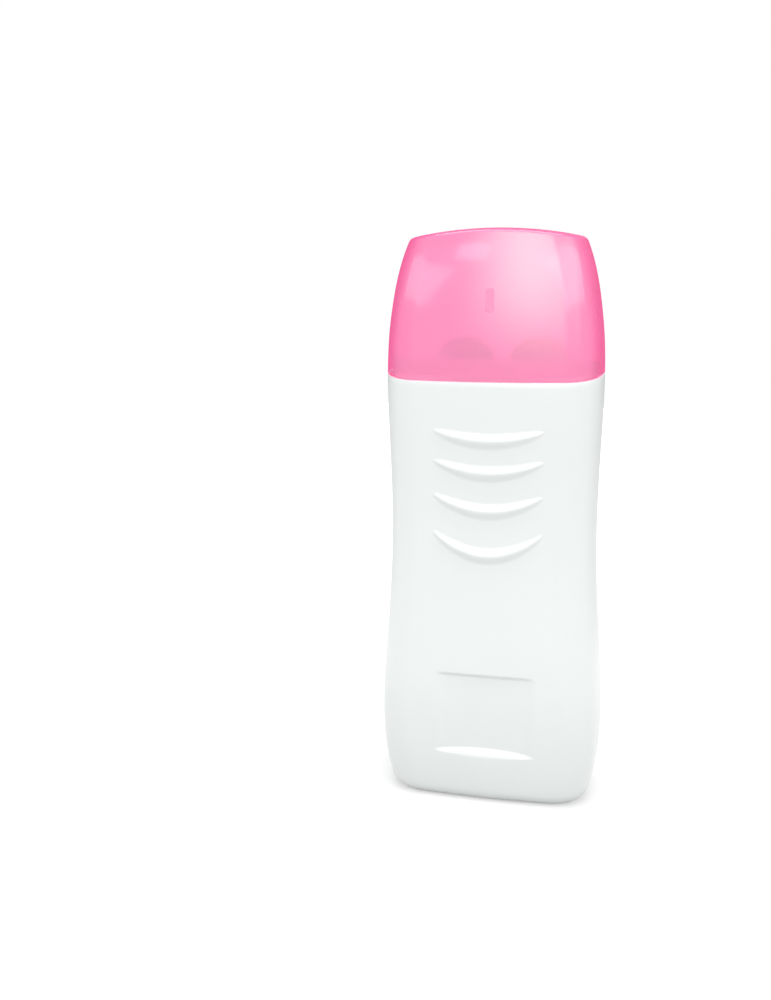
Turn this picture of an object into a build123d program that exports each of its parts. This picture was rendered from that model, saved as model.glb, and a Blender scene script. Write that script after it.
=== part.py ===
"""Hand-held roll-on wax heater: two moulded shells, a heated cartridge bay and a pull-off cap.

Frame: origin at the centre of the foot, +Z up, -Y is the front face, -X the side with the
level window. Millimetres throughout.
"""

from build123d import *

import math
import os
from functools import cache

# ---------------------------------------------------------------- outline, foot to crown
foot_width = 70.0
foot_depth = 46.0
ankle_height = 15.0
ankle_width = 77.2
ankle_depth = 50.8
belly_height = 40.0
belly_width = 78.8
belly_depth = 52.4
waist_height = 96.0
waist_width = 75.0
waist_depth = 48.4
shoulder_height = 152.0
shoulder_width = 79.4
shoulder_depth = 51.6
brow_height = 179.0
brow_width = 76.0
brow_depth = 46.4
overall_height = 205.0
crown_width = 60.5
crown_depth = 32.0
face_bow = 1.9          # bow of the front and back faces
side_bow = 3.0          # bow of the two sides
corner_radius = 13.0
foot_radius = 4.0

# ---------------------------------------------------------------- moulded shells
wall = 2.0
parting = 6.0           # the shells meet this far behind the middle
groove = 0.4            # width and depth of the shadow line along the parting
seam_height = 151.6     # top edge of the shells, at the sides
seam_drop = 3.6         # the edge dips by this much at the front and back
shelf_reach = 3.2       # ledges inside the front and back walls carry the rest and the neck
shelf_thickness = 2.0
shelf_width = 40.0

# ---------------------------------------------------------------- grip ribs and thumb flat
rib_half_span = 19.5
rib_rise = 1.0
rib_breadth = 5.4
rib_heights = (127.6, 116.2, 103.2, 87.8)
rib_sags = (3.4, 4.2, 5.5, 7.8)
flat_bottom = 17.2
flat_top = 44.6
flat_depth = 0.8
flat_ramp = 2.6
flat_half_width = 18.6
flat_corner = 3.0

# ---------------------------------------------------------------- cap
cap_wall = 1.6
cap_gap = 0.3
crown_rise = 3.6        # arch of the crown from side to side
crown_edge = 2.4
vent_width = 3.2
vent_length = 9.0
vent_height = 177.0

# ---------------------------------------------------------------- cartridge bay
bay_width = 52.0
bay_depth = 30.5
bay_corner = 8.0
sleeve_wall = 1.2
sleeve_slot = 14.0
sleeve_overlap = 4.0    # the sleeve reaches this far up into the neck
rest_height = 30.0      # underside of the cartridge rest
rest_thickness = 3.0
rest_clearance = 0.25
rim_height = 4.0
rim_wall = 1.5
slip = 0.15             # clearance of parts that drop over each other

# ---------------------------------------------------------------- neck
neck_clearance = 0.1
neck_wall = 1.6
neck_reach = 14.6       # the neck hangs this far below the seam and
neck_rise = 4.4         # stands this far above it
deck_rise = 0.4
deck_thickness = 2.0
skirt_wall = 1.6
catch_fall = 8.6        # catch ledges of the shells, in a groove of the neck
catch_height = 1.6
catch_rise = 0.8
bead_length = 24.6      # cap bead on the front and back of the neck
bead_height = 1.1
bead_rise = 0.25
bead_fall = 2.2
tongue_offset = 14.6
tongue_width = 22.0
shoulder_rise = 7.4     # shoulders and peak of the tongues, above the seam
peak_rise = 13.4
tongue_thickness = 1.6
tongue_setback = 1.2    # from the bay's rear edge

# ---------------------------------------------------------------- level window
window_width = 13.0
window_length = 80.0
window_corner = 3.5
window_offset = 3.5     # its middle lies this far behind the middle of the side
window_height = 84.0
window_clearance = 0.15
window_flange = 2.0
flange_thickness = 1.0
flange_seat = 0.05

# ---------------------------------------------------------------- case screws
screw_offset = 32.0
screw_low = 22.0
screw_fall = 7.0        # the upper pair, below the neck's lower edge
screw_diameter = 2.9
screw_head = 5.6
screw_head_height = 2.0
screw_slot_length = 3.4
screw_slot_width = 0.9
screw_slot_depth = 1.0
screw_length = 16.0
screw_seat = 14.0       # the heads seat this far behind the middle
boss_diameter = 8.8
pilot_diameter = 3.0
pilot_depth = 12.0      # from the parting
passage_diameter = 3.4
recess_diameter = 6.2

# ---------------------------------------------------------------- heater pack
stone_size = 20.0
stone_thickness = 2.2
stone_pitch = 22.0
stone_count = 2
heater_rise = 35.0      # middle of the pack, above the cartridge rest
electrode_thickness = 0.3
film_thickness = 0.25
film_margin = 1.5
plate_thickness = 1.2
plate_flange = 4.8
plate_clearance = 0.4
tab_width = 5.0
tab_length = 7.0
tab_offset = 5.0
rivet_diameter = 2.0
rivet_head = 3.8
rivet_head_height = 0.8
rivet_inset = 7.0

# ---------------------------------------------------------------- thermostat and fuse
thermostat_width = 16.0
thermostat_length = 7.0
thermostat_thickness = 3.6
thermostat_rise = 34.0  # above the middle of the heater pack
thermostat_corner = 0.8
fuse_diameter = 4.4
fuse_length = 15.0
fuse_rise = 19.0        # above the thermostat
strap_width = 5.0
strap_thickness = 0.5
strap_foot = 5.0

# ---------------------------------------------------------------- cartridge springs
spring_width = 8.0
spring_length = 60.0
spring_thickness = 0.4
spring_bow = 0.8
spring_offset = 13.0
spring_height = 86.0

# ---------------------------------------------------------------- electrics below the bay
gland_height = 11.0
gland_diameter = 7.0
gland_bore = 5.0
gland_proud = 0.9
gland_collar = 9.6
gland_collar_thickness = 1.8
gland_tail = 3.0
gland_clearance = 0.05
gland_seat = 0.4        # the collar seats this far in, flat behind the bowed wall
block_width = 20.0
block_depth = 12.0
block_height = 10.0
block_setback = 1.5     # its middle lies this far behind the middle
port_diameter = 3.4
port_depth = 2.5
lamp_port_offset = 6.9
neutral_port_offset = 2.3
live_port_offset = 6.9
board_width = 12.0
board_height = 36.0
board_thickness = 1.2
board_setback = 4.4     # from the window's inner face to the board's inner face
board_clearance = 0.1
post_height = 9.0
post_wall = 1.4
lamp_diameter = 3.0
lamp_proud = 1.8
lamp_height = 60.0
resistor_diameter = 2.3
resistor_length = 6.5
resistor_height = 48.0
lead_diameter = 1.6
lead_clearance = 0.4
lead_standoff = 2.75    # the heater leads climb this far behind the sleeve
lead_bend = 1.2
lamp_lead_level = 27.4
lamp_lead_pitch = 4.0
lamp_joint_rise = 10.0  # above the cartridge rest
live_spacing = 2.6      # from the clamp plate's edge to the live lead
link_reach = 4.6        # from the thermostat's ends to the bends of its leads
heater_lead_level = 20.0

# ---------------------------------------------------------------- derived places
BEYOND = 2 * overall_height
neck_bottom = seam_height - neck_reach
neck_top = seam_height + neck_rise
deck_height = seam_height + deck_rise
catch_level = seam_height - catch_fall
bead_level = seam_height - bead_fall
tongue_shoulder = seam_height + shoulder_rise
tongue_peak = seam_height + peak_rise
screw_high = neck_bottom - screw_fall
sleeve_top = neck_bottom + sleeve_overlap
rest_top = rest_height + rest_thickness
heater_height = rest_top + heater_rise
thermostat_height = heater_height + thermostat_rise
fuse_height = thermostat_height + fuse_rise
sleeve_back = bay_depth / 2 + sleeve_wall
inner_electrode_face = sleeve_back + film_thickness
stone_face = inner_electrode_face + electrode_thickness
outer_electrode_face = stone_face + stone_thickness
outer_film_face = outer_electrode_face + electrode_thickness
plate_face = outer_film_face + film_thickness
electrode_length = stone_pitch * (stone_count - 1) + stone_size
film_width = stone_size + 2 * film_margin
film_length = electrode_length + 2 * film_margin
plate_inner_width = film_width + 2 * plate_clearance
plate_side = plate_inner_width / 2 + plate_thickness
block_top = wall + block_height
board_distance = belly_width / 2 - wall - flange_thickness - board_setback
lamp_lead_reach = board_distance - lead_diameter
lamp_joint_level = rest_top + lamp_joint_rise
inner_tab_level = heater_height - (electrode_length + tab_length) / 2
lead_back = sleeve_back + lead_standoff
live_offset = plate_side + plate_flange + live_spacing
link_offset = thermostat_width / 2 + link_reach


# ================================================================ shared shapes
def crowned_section(width, depth, corner):
    """Rounded rectangle whose four sides are bowed outwards."""
    x, y = width / 2, depth / 2
    with BuildSketch() as section:
        with BuildLine():
            ThreePointArc((x - side_bow, face_bow - y), (x, 0), (x - side_bow, y - face_bow))
            ThreePointArc((x - side_bow, y - face_bow), (0, y), (side_bow - x, y - face_bow))
            ThreePointArc((side_bow - x, y - face_bow), (-x, 0), (side_bow - x, face_bow - y))
            ThreePointArc((side_bow - x, face_bow - y), (0, -y), (x - side_bow, face_bow - y))
        make_face()
        fillet(section.vertices(), corner)
    return section.sketch


@cache
def envelope(grow):
    """Solid inside the whole outline, foot to crown, its sides moved out by grow."""
    stations = (
        (0, foot_width, foot_depth),
        (ankle_height, ankle_width, ankle_depth),
        (belly_height, belly_width, belly_depth),
        (waist_height, waist_width, waist_depth),
        (shoulder_height, shoulder_width, shoulder_depth),
        (brow_height, brow_width, brow_depth),
        (overall_height, crown_width, crown_depth),
    )
    with BuildPart() as solid:
        for height, width, depth in stations:
            with BuildSketch(Plane.XY.offset(height)):
                add(crowned_section(width + 2 * grow, depth + 2 * grow, corner_radius + grow))
        loft()
    return solid.part


def slice_of(grow, low, high):
    """The outline's solid between two heights."""
    with BuildPart() as piece:
        add(envelope(grow))
        with Locations((0, 0, low)):
            Box(
                BEYOND, BEYOND, high - low,
                align=(Align.CENTER, Align.CENTER, Align.MIN), mode=Mode.INTERSECT,
            )
    return piece.part


@cache
def reach_at(height):
    """How far the outline reaches at one height: half its width in X, half its depth in Y."""
    return slice_of(0, height - groove / 2, height + groove / 2).bounding_box().max


def arch_under(top, drop, half, plane):
    """Everything below an arch that reaches top in the middle and top - drop at +-half."""
    reach = half + corner_radius
    radius = (half**2 + drop**2) / (2 * drop)
    spring_line = top - radius + math.sqrt(radius**2 - reach**2)
    with BuildPart() as below:
        with BuildSketch(plane):
            with BuildLine():
                ThreePointArc((-reach, spring_line), (0, top), (reach, spring_line))
                Polyline(
                    (reach, spring_line), (reach, -BEYOND), (-reach, -BEYOND), (-reach, spring_line)
                )
            make_face()
        extrude(amount=BEYOND, both=True)
    return below.part


def below_seam(lift):
    """Everything under the arched edge where shells and cap meet, raised by lift."""
    return arch_under(seam_height + lift, seam_drop, shoulder_depth / 2, Plane.YZ)


def bay_block(inset, low, high):
    """Round-cornered block on the bay's centre line; inset makes it larger than the bay."""
    with BuildPart() as block:
        with BuildSketch(Plane.XY.offset(low)):
            RectangleRounded(bay_width + 2 * inset, bay_depth + 2 * inset, bay_corner + inset)
        extrude(amount=high - low)
    return block.part


def bay_tube(inset, thickness, low, high):
    """Tube round the bay, its inner face larger than the bay by inset."""
    with BuildPart() as tube:
        add(bay_block(inset + thickness, low, high))
        add(bay_block(inset, low, high), mode=Mode.SUBTRACT)
    return tube.part


def rod(start, direction, diameter, length):
    """Round bar from a point, along a direction."""
    with BuildPart() as bar:
        with BuildSketch(Plane(origin=start, z_dir=direction)):
            Circle(diameter / 2)
        extrude(amount=length)
    return bar.part


def lead(*points):
    """Insulated wire in straight runs joined by round bends."""
    with BuildPart() as wire:
        with BuildLine():
            route = FilletPolyline(*points, radius=lead_bend)
        with BuildSketch(Plane(origin=route @ 0, z_dir=route % 0)):
            Circle(lead_diameter / 2)
        sweep(path=route)
    return wire.part


# ================================================================ housing forms
def grip_rib(height, sag):
    """Smile-shaped rib: a ring, tipped back so that both ends dive under the front face."""
    tube = (rib_breadth**2 / 4 + rib_rise**2) / (2 * rib_rise)
    ring = (rib_half_span**2 + sag**2) / (2 * sag)
    face_radius = (shoulder_width / 2 - side_bow) ** 2 / (2 * face_bow)
    dive = rib_rise + rib_half_span**2 / (2 * face_radius)
    tilt = math.asin(dive / sag)
    rise = Vector(0, math.sin(tilt), math.cos(tilt))
    lowest = Vector(0, tube - rib_rise - reach_at(height).Y, height)
    with BuildPart() as rib:
        with Locations(Plane(lowest + rise * ring, x_dir=(1, 0, 0), z_dir=(0, -rise.Z, rise.Y))):
            Torus(ring, tube)
        with Locations(lowest):
            Box(
                2 * rib_half_span, 2 * tube, 2 * sag + 2 * rib_breadth, mode=Mode.INTERSECT
            )
    return rib.part


def thumb_flat():
    """Cutter for the shallow flat low on the front: a sharp top edge and a ramped bottom."""
    top_face = -reach_at(flat_top).Y
    low_face = -reach_at(flat_bottom).Y
    with BuildPart() as cutter:
        with BuildSketch(Plane.YZ):
            with BuildLine():
                Polyline(
                    (top_face - wall, flat_top),
                    (top_face + flat_depth, flat_top),
                    (low_face + flat_depth, flat_bottom + flat_ramp),
                    (low_face, flat_bottom),
                    (low_face - wall, flat_bottom),
                    close=True,
                )
            make_face()
        extrude(amount=flat_half_width, both=True)
        upright = cutter.edges().filter_by(Axis.Y).group_by(Axis.Z)[-1]
        fillet(upright, flat_corner)
    return cutter.part


def window_strip(grow, outer, inner):
    """Rounded strip on the -X side between two offsets of the outline."""
    with BuildPart() as strip:
        with BuildSketch(Plane.YZ):
            with Locations((window_offset, window_height)):
                RectangleRounded(
                    window_width + 2 * grow, window_length + 2 * grow, window_corner + grow
                )
        extrude(amount=-shoulder_width)
        add(envelope(outer), mode=Mode.INTERSECT)
        add(envelope(inner), mode=Mode.SUBTRACT)
    return strip.part


def gland_form(grow):
    """Cord gland's outer form: a neck through the side wall and a collar behind it."""
    side = reach_at(gland_height).X
    collar_face = side - wall - gland_clearance
    with BuildPart() as form:
        add(
            rod(
                (-side - gland_proud, parting, gland_height), (1, 0, 0),
                gland_diameter + 2 * grow, gland_proud + wall + gland_collar_thickness + gland_tail,
            )
        )
        add(
            rod(
                (gland_seat - collar_face, parting, gland_height), (1, 0, 0),
                gland_collar + 2 * grow, gland_collar_thickness,
            )
        )
    return form.part


def ledges(reach, low, high):
    """Ledges inside the front and the back wall, reaching inwards between two heights."""
    with BuildPart() as pair:
        add(slice_of(-wall / 2, low, high))
        add(envelope(-wall - reach), mode=Mode.SUBTRACT)
        with Locations((0, 0, low)):
            Box(shelf_width, BEYOND, BEYOND, mode=Mode.INTERSECT)
    return pair.part


def parting_groove():
    """Shadow line round the outside, where the two shells meet."""
    with BuildPart() as line:
        add(envelope(wall))
        add(envelope(-groove), mode=Mode.SUBTRACT)
        with Locations((0, parting, overall_height / 2)):
            Box(BEYOND, groove, BEYOND, mode=Mode.INTERSECT)
        with Locations((0, 0, -wall)):
            Box(BEYOND, BEYOND, 2 * wall, mode=Mode.SUBTRACT)
    return line.part


parting_plane = Plane.XZ.offset(-parting)
screw_places = [
    (side * screw_offset, height) for side in (-1, 1) for height in (screw_low, screw_high)
]

# ================================================================ shells
def screw_boss(x, z, direction):
    """Boss from the parting to the wall that lies in that direction."""
    with BuildPart() as boss:
        add(rod((x, parting, z), direction, boss_diameter, BEYOND))
        add(envelope(-wall / 2), mode=Mode.INTERSECT)
    return boss.part


# The whole housing as one hollow casting, before it is parted.
with BuildPart() as housing:
    add(slice_of(0, 0, overall_height))
    fillet(housing.edges().group_by(Axis.Z)[0], foot_radius)
    add(below_seam(0), mode=Mode.INTERSECT)
    for height, sag in zip(rib_heights, rib_sags):
        add(grip_rib(height, sag))
    add(thumb_flat(), mode=Mode.SUBTRACT)
    add(slice_of(-wall, wall, overall_height), mode=Mode.SUBTRACT)
    for level in (rest_height, neck_bottom):
        add(ledges(shelf_reach, level - shelf_thickness, level))
    add(ledges(catch_rise, catch_level, catch_level + catch_height))
    add(window_strip(window_clearance, wall, -wall - shelf_reach), mode=Mode.SUBTRACT)
    add(gland_form(gland_clearance), mode=Mode.SUBTRACT)
    add(parting_groove(), mode=Mode.SUBTRACT)

with BuildPart() as front_shell:
    add(housing.part)
    split(bisect_by=parting_plane, keep=Keep.TOP)
    for x, z in screw_places:
        add(screw_boss(x, z, (0, -1, 0)))
        add(
            rod((x, parting, z), (0, -1, 0), pilot_diameter, pilot_depth), mode=Mode.SUBTRACT
        )

with BuildPart() as rear_shell:
    add(housing.part)
    split(bisect_by=parting_plane, keep=Keep.BOTTOM)
    for x, z in screw_places:
        add(screw_boss(x, z, (0, 1, 0)))
        add(rod((x, 0, z), (0, 1, 0), passage_diameter, BEYOND), mode=Mode.SUBTRACT)
        add(rod((x, screw_seat, z), (0, 1, 0), recess_diameter, BEYOND), mode=Mode.SUBTRACT)

# ================================================================ cap
with BuildPart() as cap:
    add(envelope(0))
    add(arch_under(overall_height, crown_rise, crown_width / 2, Plane.XZ), mode=Mode.INTERSECT)
    crown_rim = cap.edges().filter_by(lambda edge: edge.center().Z > overall_height - 2 * crown_rise)
    fillet(crown_rim, crown_edge)
    with BuildPart(mode=Mode.PRIVATE) as hollow:
        add(envelope(-cap_wall))
        add(
            arch_under(overall_height - cap_wall, crown_rise, crown_width / 2, Plane.XZ),
            mode=Mode.INTERSECT,
        )
    add(hollow.part, mode=Mode.SUBTRACT)
    add(below_seam(cap_gap), mode=Mode.SUBTRACT)
    with BuildSketch(Plane.XZ):
        with Locations((0, vent_height)):
            SlotOverall(vent_length, vent_width, rotation=90)
    extrude(amount=BEYOND, mode=Mode.SUBTRACT)

# ================================================================ level window
with BuildPart() as level_window:
    add(window_strip(0, 0, -wall - flange_thickness))
    add(window_strip(window_flange, -wall - flange_seat, -wall - flange_thickness))

# ================================================================ neck collar
neck_grow = -wall - neck_clearance


def tongue(side):
    """Arched guide tongue that stands on the deck behind the mouth."""
    left = side * tongue_offset - tongue_width / 2
    right = side * tongue_offset + tongue_width / 2
    face = bay_depth / 2 + tongue_setback
    with BuildPart() as plate:
        with BuildSketch(Plane.XZ.offset(-face)):
            with BuildLine():
                ThreePointArc(
                    (left, tongue_shoulder), (side * tongue_offset, tongue_peak),
                    (right, tongue_shoulder),
                )
                Polyline(
                    (right, tongue_shoulder), (right, deck_height - deck_thickness / 2),
                    (left, deck_height - deck_thickness / 2), (left, tongue_shoulder),
                )
            make_face()
        extrude(amount=-tongue_thickness)
    return plate.part


with BuildPart() as neck_collar:
    add(slice_of(neck_grow, neck_bottom, neck_top))
    with BuildPart(mode=Mode.PRIVATE) as catch_groove:
        add(slice_of(0, catch_level - slip, catch_level + catch_height + slip))
        add(envelope(neck_grow - catch_rise), mode=Mode.SUBTRACT)
    add(catch_groove.part, mode=Mode.SUBTRACT)
    add(slice_of(neck_grow - neck_wall, deck_height, neck_top), mode=Mode.SUBTRACT)
    with BuildPart(mode=Mode.PRIVATE) as underside:
        add(slice_of(neck_grow - neck_wall, neck_bottom, deck_height - deck_thickness))
        add(
            bay_block(sleeve_wall + slip + skirt_wall, neck_bottom, deck_height),
            mode=Mode.SUBTRACT,
        )
    add(underside.part, mode=Mode.SUBTRACT)
    with BuildPart(mode=Mode.PRIVATE) as beads:
        add(slice_of(neck_grow + bead_rise, bead_level, bead_level + bead_height))
        add(envelope(neck_grow - neck_wall / 2), mode=Mode.SUBTRACT)
        with Locations((0, 0, bead_level)):
            Box(bead_length, BEYOND, BEYOND, mode=Mode.INTERSECT)
    add(beads.part)
    for side in (-1, 1):
        add(tongue(side))
    add(bay_block(sleeve_wall + slip, neck_bottom, sleeve_top), mode=Mode.SUBTRACT)
    add(bay_block(0, neck_bottom, tongue_peak), mode=Mode.SUBTRACT)

# ================================================================ heating sleeve
rivet_x = plate_inner_width / 2 + plate_thickness + plate_flange / 2
rivet_places = [
    (side * rivet_x, heater_height + end * (film_length / 2 - rivet_inset))
    for side in (-1, 1)
    for end in (-1, 1)
]

with BuildPart() as heating_sleeve:
    add(bay_tube(0, sleeve_wall, rest_top, sleeve_top))
    with Locations((-bay_width / 2, 0, (rest_top + sleeve_top) / 2)):
        Box(bay_corner, sleeve_slot, BEYOND, mode=Mode.SUBTRACT)
    for x, z in rivet_places:
        add(rod((x, 0, z), (0, 1, 0), rivet_diameter, BEYOND), mode=Mode.SUBTRACT)


def spring_leaf(x):
    """Leaf spring bowed into the bay, its ends on the sleeve's front wall."""
    front = -bay_depth / 2
    with BuildPart() as leaf:
        with BuildSketch(Plane.YZ.offset(x - spring_width / 2)):
            with BuildLine():
                outer = ThreePointArc(
                    (front, spring_height - spring_length / 2),
                    (front + spring_bow, spring_height),
                    (front, spring_height + spring_length / 2),
                )
                inner = ThreePointArc(
                    (front + spring_thickness, spring_height - spring_length / 2),
                    (front + spring_thickness + spring_bow, spring_height),
                    (front + spring_thickness, spring_height + spring_length / 2),
                )
                Line(outer @ 0, inner @ 0)
                Line(outer @ 1, inner @ 1)
            make_face()
        extrude(amount=spring_width)
    return leaf.part


with BuildPart() as cartridge_springs:
    for side in (-1, 1):
        add(spring_leaf(side * spring_offset))

# ================================================================ cartridge rest
board_place = (-board_distance - board_thickness / 2, window_offset)
board_slot_width = board_width + 2 * board_clearance
board_slot_depth = board_thickness + 2 * board_clearance
lead_hole = lead_diameter + 2 * lead_clearance
neutral_place = (-tab_offset, lead_back)
live_place = (live_offset, lead_back)
lamp_lead_places = [
    (-lamp_lead_reach, window_offset + side * lamp_lead_pitch / 2) for side in (-1, 1)
]

with BuildPart() as cartridge_rest:
    add(slice_of(-wall - rest_clearance, rest_height, rest_top))
    add(bay_tube(sleeve_wall + slip, rim_wall, rest_top, rest_top + rim_height))
    with BuildSketch(Plane.XY.offset(rest_top)):
        with Locations(board_place):
            Rectangle(
                board_slot_depth + 2 * post_wall, board_slot_width + 2 * post_wall
            )
            Rectangle(
                board_slot_depth + 2 * post_wall, board_width - 2 * post_wall, mode=Mode.SUBTRACT
            )
            Rectangle(board_slot_depth, board_slot_width, mode=Mode.SUBTRACT)
    extrude(amount=post_height)
    with BuildSketch(Plane.XY.offset(rest_height)):
        with Locations(neutral_place, live_place, *lamp_lead_places):
            Circle(lead_hole / 2)
    extrude(amount=rest_thickness + rim_height, mode=Mode.SUBTRACT)
    with Locations((-tab_offset, sleeve_back + slip + rim_wall / 2, rest_top + rim_height / 2)):
        Box(tab_width + 2 * lead_clearance, 2 * rim_wall, rim_height, mode=Mode.SUBTRACT)

# ================================================================ heater pack
def slab(width, length, face, thickness, height):
    """Flat piece of the heater pack, its front face on a plane behind the sleeve."""
    with BuildPart() as piece:
        with Locations((0, face, height)):
            Box(width, thickness, length, align=(Align.CENTER, Align.MIN, Align.CENTER))
    return piece.part


def electrode(face, tab_x, end):
    """Contact sheet of the heater pack with one solder tab past its end."""
    with BuildPart() as sheet:
        add(slab(stone_size, electrode_length, face, electrode_thickness, heater_height))
        with Locations(
            (tab_x, face, heater_height + end * (electrode_length + tab_length) / 2)
        ):
            Box(
                tab_width, electrode_thickness, tab_length,
                align=(Align.CENTER, Align.MIN, Align.CENTER),
            )
    return sheet.part


with BuildPart() as inner_film:
    add(slab(film_width, film_length, sleeve_back, film_thickness, heater_height))

with BuildPart() as inner_electrode:
    add(electrode(inner_electrode_face, -tab_offset, -1))

with BuildPart() as ptc_stones:
    for count in range(stone_count):
        level = heater_height + stone_pitch * (count - (stone_count - 1) / 2)
        add(slab(stone_size, stone_size, stone_face, stone_thickness, level))

with BuildPart() as outer_electrode:
    add(electrode(outer_electrode_face, tab_offset, 1))

with BuildPart() as outer_film:
    add(slab(film_width, film_length, outer_film_face, film_thickness, heater_height))

with BuildPart() as clamp_plate:
    with BuildSketch(Plane.XY.offset(heater_height - film_length / 2)):
        with BuildLine():
            Polyline(
                (plate_side + plate_flange, sleeve_back),
                (plate_side - plate_thickness, sleeve_back),
                (plate_side - plate_thickness, plate_face),
                (plate_thickness - plate_side, plate_face),
                (plate_thickness - plate_side, sleeve_back),
                (-plate_side - plate_flange, sleeve_back),
                (-plate_side - plate_flange, sleeve_back + plate_thickness),
                (-plate_side, sleeve_back + plate_thickness),
                (-plate_side, plate_face + plate_thickness),
                (plate_side, plate_face + plate_thickness),
                (plate_side, sleeve_back + plate_thickness),
                (plate_side + plate_flange, sleeve_back + plate_thickness),
                close=True,
            )
        make_face()
    extrude(amount=film_length)
    for x, z in rivet_places:
        add(rod((x, 0, z), (0, 1, 0), rivet_diameter, BEYOND), mode=Mode.SUBTRACT)

with BuildPart() as clamp_rivets:
    for x, z in rivet_places:
        foot_back = sleeve_back + plate_thickness
        add(rod((x, bay_depth / 2, z), (0, 1, 0), rivet_diameter, sleeve_wall + plate_thickness))
        add(rod((x, foot_back, z), (0, 1, 0), rivet_head, rivet_head_height))

# ================================================================ thermostat and fuse
with BuildPart() as thermostat:
    add(
        slab(
            thermostat_width, thermostat_length, sleeve_back, thermostat_thickness,
            thermostat_height,
        )
    )
    fillet(thermostat.edges().filter_by(Axis.X), thermostat_corner)

with BuildPart() as thermal_fuse:
    add(
        rod(
            (-fuse_length / 2, sleeve_back + fuse_diameter / 2, fuse_height), (1, 0, 0),
            fuse_diameter, fuse_length,
        )
    )


def strap(height, length, thickness):
    """Hat-shaped strap, foot to foot along Z, over a part of that length and thickness."""
    inner, outer = length / 2, length / 2 + strap_thickness
    top = sleeve_back + thickness
    with BuildPart() as band:
        with BuildSketch(Plane.YZ.offset(-strap_width / 2)):
            with BuildLine():
                Polyline(
                    (sleeve_back, height + outer + strap_foot),
                    (sleeve_back, height + inner),
                    (top, height + inner),
                    (top, height - inner),
                    (sleeve_back, height - inner),
                    (sleeve_back, height - outer - strap_foot),
                    (sleeve_back + strap_thickness, height - outer - strap_foot),
                    (sleeve_back + strap_thickness, height - outer),
                    (top + strap_thickness, height - outer),
                    (top + strap_thickness, height + outer),
                    (sleeve_back + strap_thickness, height + outer),
                    (sleeve_back + strap_thickness, height + outer + strap_foot),
                    close=True,
                )
            make_face()
        extrude(amount=strap_width)
    return band.part


with BuildPart() as sensor_straps:
    add(strap(thermostat_height, thermostat_length, thermostat_thickness))
    add(strap(fuse_height, fuse_diameter, fuse_diameter))

# ================================================================ electrics below the bay
with BuildPart() as cord_gland:
    add(gland_form(0))
    add(rod((-BEYOND, parting, gland_height), (1, 0, 0), gland_bore, 2 * BEYOND), mode=Mode.SUBTRACT)

port_places = [
    (-lamp_port_offset, window_offset - lamp_lead_pitch / 2),
    (-lamp_port_offset, window_offset + lamp_lead_pitch / 2),
    (-neutral_port_offset, 0),
    (live_port_offset, 0),
]

with BuildPart() as terminal_block:
    with Locations((0, block_setback, wall)):
        Box(
            block_width, block_depth, block_height,
            align=(Align.CENTER, Align.CENTER, Align.MIN),
        )
    with Locations(*[(x, y, block_top) for x, y in port_places]):
        Hole(port_diameter / 2, port_depth)

with BuildPart() as lamp_board:
    with Locations((*board_place, rest_top)):
        Box(
            board_thickness, board_width, board_height,
            align=(Align.CENTER, Align.CENTER, Align.MIN),
        )

board_outside = -board_distance - board_thickness
lamp_axis = Axis((board_outside, window_offset, lamp_height), (-1, 0, 0))
with BuildPart() as pilot_lamp:
    lamp_radius = lamp_diameter / 2
    barrel = lamp_proud - lamp_radius
    with BuildSketch(Plane(lamp_axis.position, x_dir=(-1, 0, 0), z_dir=(0, -1, 0))):
        with BuildLine():
            Polyline((lamp_proud, 0), (0, 0), (0, lamp_radius), (barrel, lamp_radius))
            RadiusArc((barrel, lamp_radius), (lamp_proud, 0), lamp_radius)
        make_face()
    revolve(axis=lamp_axis)

with BuildPart() as dropper_resistor:
    add(
        rod(
            (resistor_diameter / 2 - board_distance, window_offset, resistor_height), (0, 0, 1),
            resistor_diameter, resistor_length,
        )
    )

# ================================================================ case screws
with BuildPart() as case_screws:
    for x, z in screw_places:
        add(rod((x, screw_seat, z), (0, -1, 0), screw_diameter, screw_length))
        add(rod((x, screw_seat, z), (0, 1, 0), screw_head, screw_head_height))
        with BuildSketch(Plane.XZ.offset(-screw_seat - screw_head_height)):
            with Locations((x, z)):
                Rectangle(screw_slot_length, screw_slot_width)
                Rectangle(screw_slot_width, screw_slot_length)
        extrude(amount=screw_slot_depth, mode=Mode.SUBTRACT)

# ================================================================ inner leads
port_floor = block_top - port_depth
port_a, port_b, neutral_port, live_port = port_places
tab_back = inner_electrode_face + electrode_thickness
outer_tab_level = heater_height + electrode_length / 2 + tab_length - lead_diameter

with BuildPart() as live_lead:
    add(
        lead(
            (*live_port, port_floor),
            (*live_port, heater_lead_level),
            (*live_place, heater_lead_level),
            (*live_place, fuse_height),
            (fuse_length / 2, lead_back, fuse_height),
        )
    )

with BuildPart() as neutral_lead:
    add(
        lead(
            (*neutral_port, port_floor),
            (*neutral_port, heater_lead_level),
            (*neutral_place, heater_lead_level),
            (*neutral_place, inner_tab_level),
            (-tab_offset, tab_back, inner_tab_level),
        )
    )

with BuildPart() as link_lead:
    add(
        lead(
            (-fuse_length / 2, lead_back, fuse_height),
            (-link_offset, lead_back, fuse_height),
            (-link_offset, lead_back, thermostat_height),
            (-thermostat_width / 2, lead_back, thermostat_height),
        )
    )

with BuildPart() as heater_lead:
    add(
        lead(
            (thermostat_width / 2, lead_back, thermostat_height),
            (link_offset, lead_back, thermostat_height),
            (link_offset, lead_back, outer_tab_level),
            (tab_offset + tab_width / 2, lead_back, outer_tab_level),
        )
    )

with BuildPart() as lamp_leads:
    for port, place in zip((port_a, port_b), lamp_lead_places):
        add(
            lead(
                (*port, port_floor),
                (*port, lamp_lead_level),
                (*place, lamp_lead_level),
                (*place, lamp_joint_level),
                (-board_distance, place[1], lamp_joint_level),
            )
        )

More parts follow.
